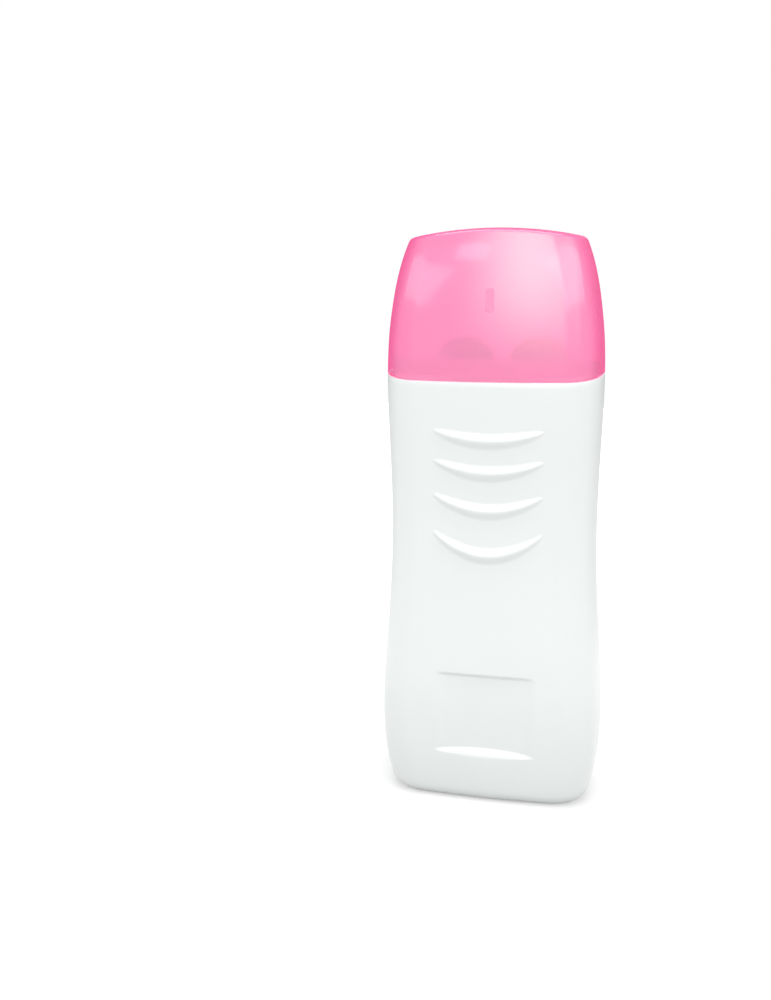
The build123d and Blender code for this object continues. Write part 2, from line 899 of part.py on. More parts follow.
# ================================================================ write the parts
pieces = {
    "front_shell": front_shell,
    "rear_shell": rear_shell,
    "cap": cap,
    "level_window": level_window,
    "neck_collar": neck_collar,
    "heating_sleeve": heating_sleeve,
    "cartridge_springs": cartridge_springs,
    "cartridge_rest": cartridge_rest,
    "inner_film": inner_film,
    "inner_electrode": inner_electrode,
    "ptc_stones": ptc_stones,
    "outer_electrode": outer_electrode,
    "outer_film": outer_film,
    "clamp_plate": clamp_plate,
    "clamp_rivets": clamp_rivets,
    "thermostat": thermostat,
    "thermal_fuse": thermal_fuse,
    "sensor_straps": sensor_straps,
    "cord_gland": cord_gland,
    "terminal_block": terminal_block,
    "lamp_board": lamp_board,
    "pilot_lamp": pilot_lamp,
    "dropper_resistor": dropper_resistor,
    "case_screws": case_screws,
    "live_lead": live_lead,
    "neutral_lead": neutral_lead,
    "link_lead": link_lead,
    "heater_lead": heater_lead,
    "lamp_leads": lamp_leads,
}

os.makedirs("parts", exist_ok=True)
for name, piece in pieces.items():
    piece.part.label = name
    export_step(piece.part, f"parts/{name}.step")
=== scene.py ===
import math

import bmesh
import bpy
import numpy as np
from mathutils import Euler, Matrix, Vector


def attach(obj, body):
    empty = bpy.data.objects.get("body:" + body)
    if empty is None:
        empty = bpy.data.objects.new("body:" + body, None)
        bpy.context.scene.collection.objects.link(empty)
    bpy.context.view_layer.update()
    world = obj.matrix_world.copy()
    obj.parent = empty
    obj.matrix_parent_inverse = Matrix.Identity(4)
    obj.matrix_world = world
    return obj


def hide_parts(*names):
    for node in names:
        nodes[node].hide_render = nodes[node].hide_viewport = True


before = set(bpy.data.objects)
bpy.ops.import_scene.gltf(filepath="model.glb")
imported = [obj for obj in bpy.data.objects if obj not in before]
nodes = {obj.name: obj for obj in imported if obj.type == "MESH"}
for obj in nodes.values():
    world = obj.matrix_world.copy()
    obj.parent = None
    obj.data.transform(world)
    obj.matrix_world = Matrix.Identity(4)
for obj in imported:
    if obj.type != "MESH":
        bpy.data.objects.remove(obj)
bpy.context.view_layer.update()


# ------------------------------------------------------------------ view
# The heater stands nearly square on to the viewer, whose eye is about level with the top of the
# grip and a little right of its middle, looking past it to the left. The head leans slightly.
eye = (0.0471, -0.3911, 0.1570)
look_turn = math.radians(12.96)
look_lean = math.radians(0.70)
focal_length_px = 1045.0
frame_height_px = 1000.0
horizon_row_px = 355.7
film_size = 36.0

view_camera = bpy.data.cameras.new("view")
view_camera.sensor_fit = "VERTICAL"
view_camera.sensor_height = film_size
view_camera.lens = film_size * focal_length_px / frame_height_px
view_camera.shift_y = (horizon_row_px - frame_height_px / 2) / frame_height_px
view_camera.clip_start = 0.01
viewer = bpy.data.objects.new("viewer", view_camera)
viewer.location = eye
viewer.rotation_euler = (
    Euler((math.radians(90), 0, look_turn)).to_matrix() @ Matrix.Rotation(look_lean, 3, "Z")
).to_euler()
bpy.context.scene.collection.objects.link(viewer)
bpy.context.scene.camera = viewer


# ------------------------------------------------------------------ front shell
# The front half of the grip, injection moulded in glossy white ABS with a 2 mm wall. It carries
# four smile-shaped finger ribs and a shallow thumb flat, and screws to the rear half.
MM = 0.001                # sizes are in millimetres, meshes in metres
width_stations = (
    (0, 70.0), (15, 77.2), (40, 78.8), (96, 75.0), (152, 79.4), (179, 76.0), (205, 60.5)
)
depth_stations = (
    (0, 46.0), (15, 50.8), (40, 52.4), (96, 48.4), (152, 51.6), (179, 46.4), (205, 32.0)
)
side_bow = 3.0
face_bow = 1.9
corner_radius = 13.0
wall = 2.0
foot_radius = 4.0
parting = 6.0             # the halves meet this far behind the middle
seam_top = 151.6          # upper edge, at the sides
seam_drop = 3.6           # the edge dips by this much at the front and back
seam_reach = 25.8
edge_round = 0.3
groove_half = 0.2         # shadow line along the parting
groove_depth = 0.4

rib_half_span = 19.5
rib_rise = 1.4
rib_above = 2.5           # breadth of a rib above its crest, and below it
rib_below = 3.1
rib_facet_power = 1.3     # of the upper facet, which would be plane at 1
rib_lower_power = 1.5
rib_crests = (127.3, 115.9, 102.5, 86.9)
rib_sags = (3.4, 4.2, 5.5, 7.8)

flat_half_width = 18.8
flat_top = 45.4
flat_corner = 3.0
flat_tips = 17.5          # level of the two tips of the bank below the flat
flat_bank_above = 1.7
flat_bank_below = 1.5
flat_depth = 1.3          # at its top; it is deeper at its foot, where the grip bellies out
flat_foot_depth = 1.5
flat_step = 1.3
flat_side_fade = 0.3      # share of the half width over which its sides fade
flat_side_share = 0.4     # share of the depth that is left at its sides
flat_bank_power = 1.5
tiny = 1e-6               # keeps a division by a width off zero at a tip


def through(stations):
    """The one polynomial that passes through every (height, size) station."""
    heights, sizes = np.array(stations).T
    return np.polynomial.Polynomial.fit(heights, sizes, len(stations) - 1)


half_width = through(width_stations) / 2
half_depth = through(depth_stations) / 2


def quarter_columns(side, corner, face, lips=()):
    """Columns of a quarter outline, from the side to just short of the middle of the face:
    which arc each is on (0 side, 1 corner, 2 face), its share of that arc, its distance from
    the edge where the outline starts, and how deep it is sunk. Lips are the (distance, sunk)
    pairs of a few columns close to the edge."""
    margin = lips[-1][0] if lips else 0.0
    spread = np.arange(1 if lips else 0, side) / side
    arc = np.repeat([0, 0, 1, 2], [len(lips), len(spread), corner, face])
    share = np.concatenate([
        np.zeros(len(lips)), spread, np.arange(corner) / corner, np.arange(face) / face
    ])
    near = np.array([lip[0] for lip in lips] + [margin] * (len(arc) - len(lips)))
    sunk = np.array([lip[1] for lip in lips] + [0.0] * (len(arc) - len(lips)))
    return arc, share, near, sunk


def bowed_quarter(columns, height, grow, start):
    """Quarter of the outline at each height: the side is a circle arc whose middle is at the
    half width, the face one whose middle is at the half depth, and the corner is the circle
    that touches both from inside, so its centre lies where two circles cross."""
    arc, share, near, _ = columns
    wide, deep = half_width(height) + grow, half_depth(height) + grow
    radius = corner_radius + grow
    side_radius = ((deep - face_bow) ** 2 + side_bow**2) / (2 * side_bow)
    face_radius = ((wide - side_bow) ** 2 + face_bow**2) / (2 * face_bow)
    side_centre, face_centre = wide - side_radius, deep - face_radius
    to_side, to_face = side_radius - radius, face_radius - radius
    apart = np.hypot(side_centre, face_centre)
    along = (to_side**2 - to_face**2 + apart**2) / (2 * apart)
    across = np.sqrt(to_side**2 - along**2)
    centre_x = side_centre + (across * -face_centre - along * side_centre) / apart
    centre_y = (along * face_centre - across * side_centre) / apart
    side_turn = np.arctan2(centre_y, centre_x - side_centre)
    face_turn = np.arctan2(centre_y - face_centre, centre_x)
    side_end = side_radius * np.sin(side_turn)
    side_y = start + near + (side_end - start - near) * share
    turn = side_turn + (face_turn - side_turn) * share
    face_x = face_radius * np.cos(face_turn) * (1 - share)
    x = np.select(
        [arc == 0, arc == 1],
        [side_centre + np.sqrt(np.maximum(side_radius**2 - side_y**2, 0)),
         centre_x + radius * np.cos(turn)],
        face_x,
    )
    y = np.select(
        [arc == 0, arc == 1],
        [side_y, centre_y + radius * np.sin(turn)],
        face_centre + np.sqrt(np.maximum(face_radius**2 - face_x**2, 0)),
    )
    return x, y


def half_outline(columns, height, grow, start):
    """Half of the outline, from its -X edge over the middle of the face to its +X edge, for
    heights and grows with one value per row, or per row and column. Y grows to the face."""
    count = len(columns[0])
    middle = tuple(np.array([value]) for value in (2, 1.0, 0.0, 0.0))
    height = np.broadcast_to(height, (len(height), 2 * count + 1))
    grow = np.broadcast_to(grow, height.shape)
    left, right = slice(0, count), slice(count, count + 1)
    side_x, side_y = bowed_quarter(columns, height[:, left], grow[:, left] - columns[3], start)
    mid_x, mid_y = bowed_quarter(middle, height[:, right], grow[:, right], start)
    x = np.concatenate([-side_x, mid_x, side_x[:, ::-1]], 1)
    y = np.concatenate([side_y, mid_y, side_y[:, ::-1]], 1)
    return x, y


def seam_level(y):
    """Level of the arched edge between grip and cap: a circle arc over the depth."""
    radius = (seam_reach**2 + seam_drop**2) / (2 * seam_drop)
    return seam_top - radius + np.sqrt(radius**2 - y**2)


def smooth_step(value):
    """Rises from 0 to 1 as the value does, with level ends: 3 t squared less 2 t cubed."""
    t = np.clip(value, 0, 1)
    return t * t * (3 - 2 * t)


def finger_ribs(x, z):
    """How far the ribs stand out. Each crest is a parabola's smile. Above it a nearly plane
    facet runs down to a crisp edge, and below it the section is a soft power curve. Breadth and
    rise shrink together, so that both facets keep their slope up to the two pointed tips."""
    off = np.clip(np.abs(x) / rib_half_span, 0, 1)
    fade = 1 - off**2
    raised = np.zeros_like(x)
    for crest, sag in zip(rib_crests, rib_sags):
        above = z - crest - sag * off**2
        breadth = np.where(above > 0, rib_above, rib_below) * np.sqrt(fade) + tiny
        part = np.clip(np.abs(above) / breadth, 0, 1)
        section = np.where(
            above > 0, 1 - part**rib_facet_power, (1 - part**2) ** rib_lower_power
        )
        raised += rib_rise * np.sqrt(fade) * section
    return raised


def thumb_flat(x, z):
    """How deep the thumb flat is. A soft step with round corners runs along its top and a bank
    shaped like a lens along its foot, crisp above and soft below. Its sides fade because it is
    flat across a crowned face. It deepens evenly from top to foot."""
    off = np.clip(np.abs(x) / flat_half_width, 0, 1)
    level = 1 - off**2
    past_corner = np.clip(np.abs(x) - flat_half_width + flat_corner, 0, flat_corner)
    corner_fall = flat_corner - np.sqrt(flat_corner**2 - past_corner**2)
    top = smooth_step((flat_top - corner_fall - z) / flat_step)
    bank_foot = flat_tips - flat_bank_below * level
    bank = np.clip((z - bank_foot) / ((flat_bank_above + flat_bank_below) * level + tiny), 0, 1)
    faded = smooth_step((1 - off) / flat_side_fade)
    sides = faded * (flat_side_share + (1 - flat_side_share) * level)
    down = np.clip((flat_top - z) / (flat_top - flat_tips), 0, 1)
    deepest = flat_depth + (flat_foot_depth - flat_depth) * down
    return deepest * sides * top * bank**flat_bank_power


def rows_of(outline, z, grow):
    """Rows of points at given levels and grows, as (rows, columns, 3)."""
    z = np.asarray(z, float)
    z = z.reshape(-1, 1) if z.ndim == 1 else z
    grow = np.broadcast_to(np.asarray(grow, float).reshape(-1, 1), (len(z), 1))
    x, y = outline(z, grow)
    return np.stack([x, y, np.broadcast_to(z, x.shape)], -1)


def lid_rows(rim, spine_share, spine_y, count, dome=None):
    """Rows that shrink a rim to a line along its long middle, so that a floor closes there. The
    line reaches no further than the rim's two ends, so it doesn't fold back under a groove."""
    t = np.linspace(0, 1, count + 1)[:-1].reshape(-1, 1)
    spine_x = spine_share * np.clip(rim[:, 0], rim[0, 0], rim[-1, 0])
    x = spine_x + (rim[:, 0] - spine_x) * t
    y = spine_y + (rim[:, 1] - spine_y) * t
    z = np.broadcast_to(rim[:, 2], x.shape) if dome is None else dome(x, y)
    return np.stack([x, y, z], -1)


def grid_faces(rows, columns, wrap_rows=True, wrap_columns=False):
    """Quads between neighbours of a grid, closed over its rows or columns where asked."""
    row = np.arange(rows if wrap_rows else rows - 1)
    column = np.arange(columns if wrap_columns else columns - 1)
    row, column = np.meshgrid(row, column, indexing="ij")
    below, right = (row + 1) % rows, (column + 1) % columns
    corners = [row * columns + column, row * columns + right,
               below * columns + right, below * columns + column]
    return np.stack(corners, -1).reshape(-1, 4)


def edge_faces(rows, columns):
    """Quads that close the two ends of a folded grid, each row facing its twin in the fold."""
    row = np.arange(rows // 2 - 1)
    twin = rows - 1 - row
    ends = [
        np.stack([row * columns + end, (row + 1) * columns + end,
                  (twin - 1) * columns + end, twin * columns + end], -1)
        for end in (0, columns - 1)
    ]
    return np.concatenate(ends)


same_point = 2e-6         # metres within which two points are one
no_length = 1e-6          # metres below which an edge is dropped


def piece_from(name, points, faces):
    """Mesh object from points in millimetres, doubles merged and faces outwards."""
    mesh = bpy.data.meshes.new(name)
    mesh.from_pydata((np.reshape(points, (-1, 3)) * MM).tolist(), [], faces)
    work = bmesh.new()
    work.from_mesh(mesh)
    bmesh.ops.remove_doubles(work, verts=work.verts, dist=same_point)
    bmesh.ops.dissolve_degenerate(work, edges=work.edges, dist=no_length)
    bmesh.ops.recalc_face_normals(work, faces=work.faces)
    work.to_mesh(mesh)
    work.free()
    piece = bpy.data.objects.new(name, mesh)
    bpy.context.scene.collection.objects.link(piece)
    return piece


def cut(piece, cutter):
    """Takes the cutter's solid out of the piece, and then the cutter out of the scene."""
    chop = piece.modifiers.new("chop", "BOOLEAN")
    chop.operation = "DIFFERENCE"
    chop.solver = "EXACT"
    chop.object = cutter
    whole = bpy.context.evaluated_depsgraph_get()
    carved = bpy.data.meshes.new_from_object(piece.evaluated_get(whole))
    piece.modifiers.clear()
    piece.data = carved
    carved.name = piece.name
    bpy.data.objects.remove(cutter)


def soften(piece, crease=40):
    """Smooth shading that stops at edges sharper than the crease angle."""
    mesh = piece.data
    mesh.polygons.foreach_set("use_smooth", np.ones(len(mesh.polygons), bool))
    mesh.set_sharp_from_angle(angle=math.radians(crease))


def prism(name, outline, low, high, axis):
    """Closed prism of a 2D outline between two values along an axis."""
    count = len(outline)
    ends = [np.insert(outline, axis, value, 1) for value in (low, high)]
    first = np.arange(count)
    following = (first + 1) % count
    sides = np.stack([first, following, following + count, first + count], -1)
    caps = [first[::-1].tolist(), (first + count).tolist()]
    return piece_from(name, np.concatenate(ends), sides.tolist() + caps)


def rounded_rectangle(centre, size, radius, steps=10):
    """Corner arcs of a rounded rectangle, in order round it."""
    turns = np.linspace(0, math.pi / 2, steps)
    corners = []
    for index, (sx, sy) in enumerate(((1, 1), (-1, 1), (-1, -1), (1, -1))):
        turn = turns + index * math.pi / 2
        middle = np.array([sx * (size[0] / 2 - radius), sy * (size[1] / 2 - radius)])
        corners.append(centre + middle + radius * np.stack([np.cos(turn), np.sin(turn)], -1))
    return np.concatenate(corners)


def quarter_turn(count):
    """Angles from 0 to a right angle."""
    return np.linspace(0, math.pi / 2, count)


window_middle = (3.5, 84.0)
window_size = (13.0, 80.0)
window_corner = 3.5
window_gap = 0.15
gland_level = 11.0
gland_diameter = 7.0
gland_steps = 48
beyond = 50.0             # how far out the openings' cutters reach
inside = 30.0             # and how near to the middle those at the side start

# The shadow groove's section: distance from the parting, and how deep it is sunk there.
lips = ((0.0, groove_depth), (groove_half, groove_depth), (groove_half + 0.03, 0.25),
        (groove_half + 0.1, 0.08), (groove_half + 0.3, 0.0))
front_columns = quarter_columns(side=12, corner=12, face=54, lips=lips)
rim_trace = 150.0         # the arched edge is worked out from the outline at this level
rim = seam_level(half_outline(front_columns, np.array([[rim_trace]]), np.array([[0.0]]), -parting)[1])
knee = 134.0              # above this the rows lean over until they follow the arched edge


def front_outline(z, grow):
    """The front half's outline, from one parting over the face to the other."""
    return half_outline(front_columns, z, grow, -parting)


def lean(levels):
    """Levels per column: as given below the knee, spread between knee and arched edge above."""
    levels = np.asarray(levels, float).reshape(-1, 1)
    share = (levels - knee) / (seam_top - knee)
    return np.where(levels < knee, levels + 0 * rim, knee + share * (rim - knee))


row_bands = (    # from, to and rows: close together at the flat's bank and step and at the ribs
    (foot_radius, 15, 8), (15, 22, 22), (22, 42, 9), (42, 46, 14), (46, 82, 12), (82, knee, 112),
    (knee, seam_top - edge_round, 8),
)
levels = np.unique(np.concatenate([np.linspace(*stretch) for stretch in row_bands]))[1:]
turns = quarter_turn(7)
foot_z = foot_radius * (1 - np.cos(turns))
foot_grow = -foot_radius * (1 - np.sin(turns))
floor_z = wall + (foot_radius - wall) * (1 - np.cos(turns))
floor_grow = -wall - (foot_radius - wall) * (1 - np.sin(turns))
edge_turns = quarter_turn(4)
edge_z = lean([seam_top]) - edge_round * (1 - np.sin(edge_turns)).reshape(-1, 1)
edge_in = edge_round * (1 - np.cos(edge_turns))

floor_spine = 0.6         # the floor closes along a line with this share of its rim's length
floor_rows = 6
above_foot = 0.1          # the inner wall starts this far above the foot's round

outer_wall = rows_of(front_outline, lean(levels), 0)
raised = finger_ribs(outer_wall[..., 0], outer_wall[..., 2])
sunken = thumb_flat(outer_wall[..., 0], outer_wall[..., 2])
outer_wall[..., 1] += raised - sunken
foot_curve = rows_of(front_outline, foot_z, foot_grow)
floor_curve = rows_of(front_outline, floor_z, floor_grow)
outer = np.concatenate([
    lid_rows(foot_curve[0], floor_spine, -parting, floor_rows), foot_curve, outer_wall,
    rows_of(front_outline, edge_z, -edge_in)[1:],
])
inner = np.concatenate([
    lid_rows(floor_curve[0], floor_spine, -parting, floor_rows), floor_curve,
    rows_of(front_outline, np.maximum(lean(levels), foot_radius + above_foot), -wall),
    rows_of(front_outline, edge_z, edge_in - wall)[1:],
])
folded = np.concatenate([outer, inner[::-1]])
folded[..., 1] *= -1
front_skin = piece_from(
    "front_moulding", folded,
    np.concatenate([grid_faces(*folded.shape[:2]), edge_faces(*folded.shape[:2])]).tolist(),
)
window_outline = rounded_rectangle(
    np.array(window_middle), np.array(window_size) + 2 * window_gap, window_corner + window_gap
)
cut(front_skin, prism("window_cutter", window_outline, -beyond, -inside, 0))
gland_turns = np.linspace(0, 2 * math.pi, gland_steps + 1)[:-1]
gland_outline = np.array([parting, gland_level]) + gland_diameter / 2 * np.stack(
    [np.cos(gland_turns), np.sin(gland_turns)], -1
)
cut(front_skin, prism("gland_cutter", gland_outline, -beyond, -inside, 0))
soften(front_skin)


class Signal:
    """A number that varies over a surface. Arithmetic on it adds the Math nodes that do it."""

    def __init__(self, wiring, socket):
        self.wiring = wiring
        self.socket = socket

    def math(self, operation, *terms):
        """Adds one Math node on signals or plain numbers."""
        sockets = dict(enumerate(terms))
        return self.wiring.node("ShaderNodeMath", {"operation": operation}, sockets)

    def __add__(self, other):
        return self.math("ADD", self, other)

    def __rsub__(self, other):
        return self.math("SUBTRACT", other, self)

    def __mul__(self, other):
        return self.math("MULTIPLY", self, other)

    def __pow__(self, other):
        return self.math("POWER", self, other)

    __radd__ = __add__
    __rmul__ = __mul__


class Wiring:
    """The nodes of a material or of the world."""

    def __init__(self, tree):
        self.tree = tree

    def node(self, kind, settings=None, sockets=None, output=0):
        """Adds a node: its settings first, then the values or links of its sockets."""
        made = self.tree.nodes.new(kind)
        for key, value in (settings or {}).items():
            setattr(made, key, value)
        for key, value in (sockets or {}).items():
            self.feed(made.inputs[key], value)
        return Signal(self, made.outputs[output])

    def feed(self, socket, value):
        """Links a signal to a socket, or sets the socket to a plain value."""
        if isinstance(value, Signal):
            self.tree.links.new(value.socket, socket)
        else:
            socket.default_value = value

    def blend(self, share, low, high):
        """Colour between two others, each a signal or four numbers. Sockets 6 and 7 of a Mix node
        are its two colours, and its output 2 is what they mix to."""
        return self.node("ShaderNodeMix", {"data_type": "RGBA"}, {0: share, 6: low, 7: high}, output=2)


class Finish(Wiring):
    """A surface finish: one Principled shader and the nodes that vary it over the piece."""

    def __init__(self, name, constants):
        self.material = bpy.data.materials.new(name)
        self.material.use_nodes = True
        super().__init__(self.material.node_tree)
        self.shader = self.tree.nodes["Principled BSDF"]
        self.place = self.node("ShaderNodeTexCoord", output="Object")
        self.surface(constants)

    def surface(self, sockets):
        """Feeds sockets of the Principled shader."""
        for key, value in sockets.items():
            self.feed(self.shader.inputs[key], value)

    def clear(self, tint):
        """A clear shader that lets a tint through."""
        return self.node("ShaderNodeBsdfTransparent", None, {"Color": (*tint, 1)})

    def see_through(self, behind, body):
        """Mixes a clear shader in; body is the share that stays with the Principled one."""
        solid = Signal(self, self.shader.outputs["BSDF"])
        mixed = self.node("ShaderNodeMixShader", None, {0: body, 1: behind, 2: solid})
        self.feed(self.tree.nodes["Material Output"].inputs["Surface"], mixed)

    def noise(self, scale, detail=2.0, stretch=(1, 1, 1)):
        """Soft noise from 0 to 1; stretch below 1 draws it out along an axis."""
        place = self.node("ShaderNodeMapping", None, {"Vector": self.place, "Scale": stretch})
        sockets = {"Vector": place, "Scale": scale, "Detail": detail}
        return self.node("ShaderNodeTexNoise", None, sockets)

    def grain(self, height, depth):
        """Bumps of a given depth in metres, from a height signal."""
        bump = self.node("ShaderNodeBump", None, {"Height": height, "Distance": depth})
        self.surface({"Normal": bump})


def moulding(name, colour, roughness, constants=None, mottle=0.03, grain=6e-6):
    """Moulded plastic: a faint mottle of colour, handling haze in the gloss, and the fine
    orange peel of a polished tool. The mottle is a share of the colour, the grain metres."""
    haze_range = 0.08
    finish = Finish(name, {"IOR": 1.5, **(constants or {})})
    cloud = finish.noise(38.0, 3.0)
    haze = finish.noise(150.0, 4.0)
    peel = finish.noise(1400.0, 2.0)
    shade = tuple(channel * (1 - mottle) for channel in colour)
    finish.surface({
        "Base Color": finish.blend(cloud, (*shade, 1), (*colour, 1)),
        "Roughness": roughness - haze_range / 2 + haze_range * haze,
    })
    finish.grain(peel, grain)
    return finish


def metal(name, colour, roughness, brush=(1, 1, 0.03), scale=2600.0, depth=8e-6):
    """Sheet or drawn metal: brush lines drawn out along one axis, with patchy colour."""
    gloss_range, patch_share = 0.2, 0.82
    finish = Finish(name, {"Metallic": 1.0})
    lines = finish.noise(scale, 3.0, brush)
    patches = finish.noise(90.0, 3.0)
    shade = tuple(channel * patch_share for channel in colour)
    finish.surface({
        "Base Color": finish.blend(patches, (*shade, 1), (*colour, 1)),
        "Roughness": roughness - gloss_range / 2 + gloss_range * lines,
    })
    finish.grain(lines, depth)
    return finish


def dress(piece, finish):
    """Gives a piece its finish, in every slot that it has."""
    if not piece.material_slots:
        piece.data.materials.append(finish.material)
    for holder in piece.material_slots:
        holder.material = finish.material


shell_white = moulding("shell_white", (0.83, 0.862, 0.853), 0.3, {"Coat Weight": 0.15}, mottle=0.02)
dress(front_skin, shell_white)
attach(front_skin, "housing")
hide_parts("front_shell")


# ------------------------------------------------------------------ rear shell
# The back half of the grip, the same ABS from the same pair of tools. It is plain, but for the
# four deep screw wells, half of the window's opening and half of the hole for the cord gland.
dress(nodes["rear_shell"], shell_white)


# ------------------------------------------------------------------ level window
# A long strip of smoke-tinted acrylic in the -X side. The wax level shows through it. It is
# pushed in from inside, where its flange is caught between the two halves.
smoke = moulding(
    "smoke_acrylic", (0.085, 0.088, 0.105), 0.12, {"Alpha": 0.86, "Coat Weight": 0.5},
    mottle=0.1, grain=2e-6,
)
dress(nodes["level_window"], smoke)


# ------------------------------------------------------------------ neck collar
# White moulding that closes the top of the grip, guides the cartridge with two arched tongues
# and takes the cap on its skirt; two low beads on the skirt hold the cap.
dress(nodes["neck_collar"], moulding("neck_white", (0.86, 0.87, 0.86), 0.38))


# ------------------------------------------------------------------ heating sleeve
# An open tube of bent aluminium sheet round the cartridge, with a slot towards the window, and
# two leaf springs of blued steel that press the cartridge against its warm rear wall.
dress(nodes["heating_sleeve"], metal("sleeve_aluminium", (0.78, 0.79, 0.8), 0.34))
dress(nodes["cartridge_springs"], metal("spring_steel", (0.42, 0.43, 0.46), 0.3))


# ------------------------------------------------------------------ cartridge rest
# Plate of heat-resistant ivory plastic across the housing, with the rim that the sleeve drops
# into and a pair of posts that hold the lamp board.
rest_ivory = moulding("rest_ivory", (0.70, 0.66, 0.55), 0.45, mottle=0.06, grain=1.2e-5)
dress(nodes["cartridge_rest"], rest_ivory)


# ------------------------------------------------------------------ heater pack
# Two ceramic heater stones between two contact sheets and two amber films, pressed against the
# sleeve by a hat-shaped aluminium plate on four rivets.
amber = moulding("amber_film", (0.62, 0.27, 0.05), 0.2, {"Alpha": 0.9}, mottle=0.15, grain=2e-6)
brass = metal("contact_brass", (0.78, 0.56, 0.24), 0.32, brush=(0.03, 1, 1))
stone = moulding("heater_stone", (0.16, 0.15, 0.15), 0.7, mottle=0.3, grain=3e-5)
plate = metal("plate_aluminium", (0.74, 0.75, 0.77), 0.4)
for name, finish in (
    ("inner_film", amber), ("outer_film", amber), ("inner_electrode", brass),
    ("outer_electrode", brass), ("ptc_stones", stone), ("clamp_plate", plate),
    ("clamp_rivets", plate),
):
    dress(nodes[name], finish)


# ------------------------------------------------------------------ thermostat and fuse
# A flat bimetal thermostat in a black case and a thermal fuse in a tinned can, each under a
# spring-steel strap on the back of the sleeve.
thermostat_black = moulding("thermostat_black", (0.03, 0.03, 0.032), 0.5, mottle=0.3, grain=2e-5)
dress(nodes["thermostat"], thermostat_black)
dress(nodes["thermal_fuse"], metal("fuse_can", (0.72, 0.7, 0.66), 0.28, brush=(0.05, 1, 1)))
dress(nodes["sensor_straps"], metal("strap_steel", (0.5, 0.5, 0.52), 0.33))


# ------------------------------------------------------------------ cord gland and terminals
# A dark grey bush pinched between the halves low on the -X side, and the block below the rest
# where the mains cord would be clamped to the inner leads.
gland_grey = moulding("gland_grey", (0.06, 0.062, 0.068), 0.55, mottle=0.15, grain=2e-5)
block_ivory = moulding("block_ivory", (0.62, 0.6, 0.52), 0.5, mottle=0.08, grain=1.5e-5)
dress(nodes["cord_gland"], gland_grey)
dress(nodes["terminal_block"], block_ivory)


# ------------------------------------------------------------------ lamp board
# A small phenolic board on the rest with a pilot lamp that shines through the window and the
# ceramic resistor that feeds it.
phenolic = moulding("board_phenolic", (0.35, 0.2, 0.08), 0.55, mottle=0.25, grain=1e-5)
lamp_red = moulding(
    "lamp_red", (0.75, 0.05, 0.03), 0.1, {"Alpha": 0.85, "Coat Weight": 0.5},
    mottle=0.1, grain=1e-6,
)
resistor_clay = moulding("resistor_body", (0.5, 0.44, 0.33), 0.6, mottle=0.2, grain=1.5e-5)
dress(nodes["lamp_board"], phenolic)
dress(nodes["pilot_lamp"], lamp_red)
dress(nodes["dropper_resistor"], resistor_clay)


# ------------------------------------------------------------------ case screws
# Four zinc-plated cross-head screws, driven from the back at the bottom of deep wells.
screw_zinc = metal(
    "screw_zinc", (0.66, 0.66, 0.64), 0.3, brush=(1, 1, 1), scale=700.0, depth=1.5e-5
)
dress(nodes["case_screws"], screw_zinc)


# ------------------------------------------------------------------ inner leads
# Silicone-sleeved wires: brown from the live terminal, blue from the neutral one, and white to
# the lamp board.
brown = moulding("live_brown", (0.16, 0.06, 0.025), 0.6, mottle=0.2, grain=2e-5)
blue = moulding("neutral_blue", (0.03, 0.12, 0.42), 0.6, mottle=0.2, grain=2e-5)
pale = moulding("lamp_white", (0.7, 0.69, 0.64), 0.6, mottle=0.1, grain=2e-5)
for name, finish in (
    ("live_lead", brown), ("link_lead", brown), ("heater_lead", brown), ("neutral_lead", blue),
    ("lamp_leads", pale),
):
    dress(nodes[name], finish)


# ------------------------------------------------------------------ cap
# The pull-off cap is clear pink polystyrene, 1.6 mm thick, with an arched crown and one small
# breathing slot high on the front. Its outer faces carry the tint, deeper at a slant, and its
# inner faces are nearly clear, so that each wall tints once.
cap_wall = 1.6
cap_gap = 0.3             # between its skirt and the grip's arched edge
crown_height = 205.0
crown_half = 31.0
crown_rise = 3.3
crown_dome = 1.7          # fall of the crown to its front and back edges
crown_half_depth = 16.0   # where it has fallen by that much
crown_round = 1.2
crown_round_inside = 1.0
crown_spine = 0.55        # the crown closes along a line with this share of its length
crown_rows = 10
cap_side_rows = 25
settling_rounds = 8       # the wall leans, so its meeting with the crown is found by repeating
shoulder = 1.0            # how far the shoulders stand out at the crown
shoulder_from = 172.0     # and the level where they start
skirt_trace = 151.0       # the arched skirt is worked out from the outline at this level
vent_size = (3.2, 9.0)
vent_height = 177.0
vent_inside = 10.0        # how near to the middle its cutter starts

cap_columns = quarter_columns(side=7, corner=14, face=18)


def cap_outline(z, grow):
    """Half of the cap's outline, from the middle of one side to the middle of the other. Its
    shoulders stand out a little, the more the nearer they are to the crown."""
    x, y = half_outline(cap_columns, z, grow, 0.0)
    full = shoulder * smooth_step((z - shoulder_from) / (crown_height - shoulder_from))
    return x * (1 + full / half_width(z)), y


def crown_level(x, y):
    """Level of the crown: circle arcs from side to side, lower towards the front and back."""
    radius = (crown_half**2 + crown_rise**2) / (2 * crown_rise)
    return crown_height - radius + np.sqrt(radius**2 - x**2) - crown_dome * (y / crown_half_depth) ** 2


